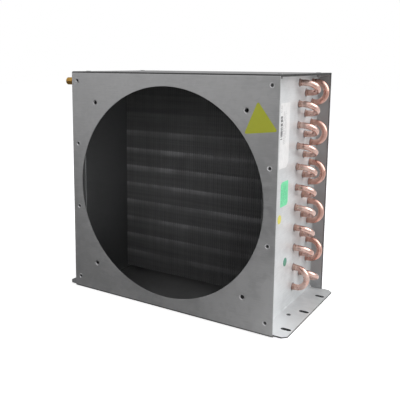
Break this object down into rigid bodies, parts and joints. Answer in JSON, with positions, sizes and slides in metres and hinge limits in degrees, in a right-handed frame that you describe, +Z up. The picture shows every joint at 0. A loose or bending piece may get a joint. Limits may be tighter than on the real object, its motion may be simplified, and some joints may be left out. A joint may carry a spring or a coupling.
{
  "type": "refrigeration condenser",
  "caption": "Air-cooled refrigeration condenser: finned copper serpentine coil in a galvanised casing with a round fan opening, feet and capped tube ends.",
  "frame": {"origin": "middle of the flat base, on its underside", "axes": "-Y out through the fan panel, +Y through the coil to the rear, +X towards the brazed return bends, +Z up"},
  "size_m": [0.3218, 0.1649, 0.2849],
  "materials": {
    "galvanised_steel": "galvanised, semi-matt with a faint spangle",
    "fin_aluminium": "thin bright foil",
    "copper": "drawn copper, satin",
    "brass": "turned brass",
    "rivet_steel": "zinc plated",
    "seal_rubber": "matt",
    "white_film": "satin label film",
    "green_film": "satin label film",
    "dark_green_film": "satin label film",
    "yellow_film": "satin label film"
  },
  "bodies": {
    "casing_and_coil": {"fan_shroud": "galvanised_steel", "left_tube_sheet": "galvanised_steel", "right_tube_sheet": "galvanised_steel", "fin_pack": "fin_aluminium", "front_hairpins": "copper", "rear_hairpins": "copper", "front_bends": "copper", "rear_bends": "copper", "lowest_front_bend": "copper", "crossover_bend": "copper", "inlet_tube": "copper", "outlet_tube": "copper", "inlet_union": "brass", "outlet_union": "brass", "left_panel_rivets": "rivet_steel", "left_roof_rivets": "rivet_steel", "right_panel_rivets": "rivet_steel", "right_roof_rivets": "rivet_steel", "base_rivets": "rivet_steel", "white_label": "white_film", "green_label": "green_film", "yellow_dot": "yellow_film", "green_dot": "dark_green_film", "triangle_sticker": "yellow_film"},
    "inlet_cap_body": {"inlet_cap": "brass"},
    "inlet_seal_body": {"inlet_seal": "seal_rubber"},
    "outlet_cap_body": {"outlet_cap": "brass"},
    "outlet_seal_body": {"outlet_seal": "seal_rubber"}
  },
  "joints": [
    {"name": "inlet_cap_travel", "type": "slide", "parent": "casing_and_coil", "child": "inlet_seal_body", "axis": [-1, 0, 0], "range_m": [0, 0.006]},
    {"name": "inlet_cap_turn", "type": "hinge", "parent": "inlet_seal_body", "child": "inlet_cap_body", "pos_m": [-0.1606, 0.0615, 0.273], "axis": [-1, 0, 0], "range_deg": [0, 2161]},
    {"name": "outlet_cap_travel", "type": "slide", "parent": "casing_and_coil", "child": "outlet_seal_body", "axis": [-1, 0, 0], "range_m": [0, 0.006]},
    {"name": "outlet_cap_turn", "type": "hinge", "parent": "outlet_seal_body", "child": "outlet_cap_body", "pos_m": [-0.1626, -0.062, 0.271], "axis": [-1, 0, 0], "range_deg": [0, 2161]}
  ],
  "couplings": [
    {"joint": "inlet_cap_turn", "follows": "inlet_cap_travel", "rad_per_m": 6283.2},
    {"joint": "outlet_cap_turn", "follows": "outlet_cap_travel", "rad_per_m": 6283.2}
  ]
}
